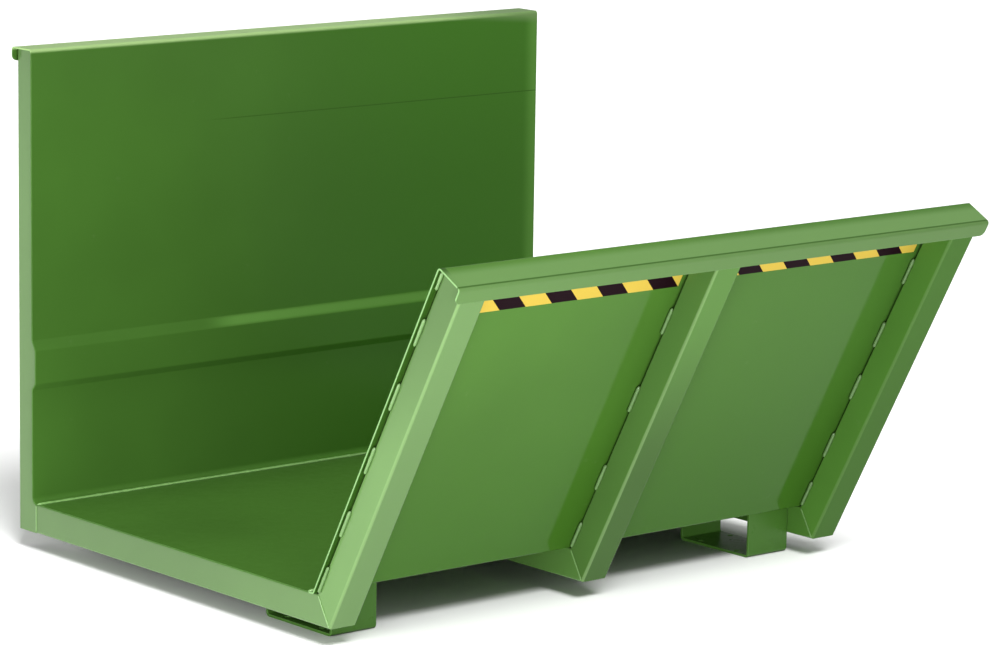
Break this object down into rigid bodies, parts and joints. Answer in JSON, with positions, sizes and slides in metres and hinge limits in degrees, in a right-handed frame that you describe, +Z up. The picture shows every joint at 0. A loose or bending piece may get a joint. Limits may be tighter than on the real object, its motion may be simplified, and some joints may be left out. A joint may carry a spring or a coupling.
{
  "type": "open-ended steel skip",
  "caption": "Open-ended steel skip with a tall rear wall, a flat floor and a sloping front wall on square-tube frames and folded feet.",
  "frame": {"origin": "centre of the bounding box in plan, at the ground under the feet", "axes": "+X along the skip between its open ends, to the right as seen from the sloping front; -Y towards the front; +Z up"},
  "size_m": [1.3, 1.3706, 0.994],
  "materials": {
    "body_paint": "semi-gloss powder coat",
    "frame_paint": "semi-gloss powder coat",
    "weld_paint": "painted-over weld bead",
    "warning_tape": "printed vinyl film"
  },
  "bodies": {
    "root": {"rear_wall": "body_paint", "floor_plate": "body_paint", "front_wall": "body_paint", "rear_post_left": "frame_paint", "rear_post_middle": "frame_paint", "rear_post_right": "frame_paint", "floor_beam_left": "frame_paint", "floor_beam_middle": "frame_paint", "floor_beam_right": "frame_paint", "front_rib_left": "frame_paint", "front_rib_middle": "frame_paint", "front_rib_right": "frame_paint", "front_foot_left": "body_paint", "front_foot_right": "body_paint", "rear_foot_left": "body_paint", "rear_foot_right": "body_paint", "hazard_tape_left": "warning_tape", "hazard_tape_right": "warning_tape", "rib_welds_left": "weld_paint", "rib_welds_middle": "weld_paint", "rib_welds_right": "weld_paint", "post_welds_left": "weld_paint", "post_welds_middle": "weld_paint", "post_welds_right": "weld_paint", "rear_seam_weld": "weld_paint", "front_seam_weld": "weld_paint", "corner_welds": "weld_paint", "foot_welds": "weld_paint"}
  },
  "joints": []
}
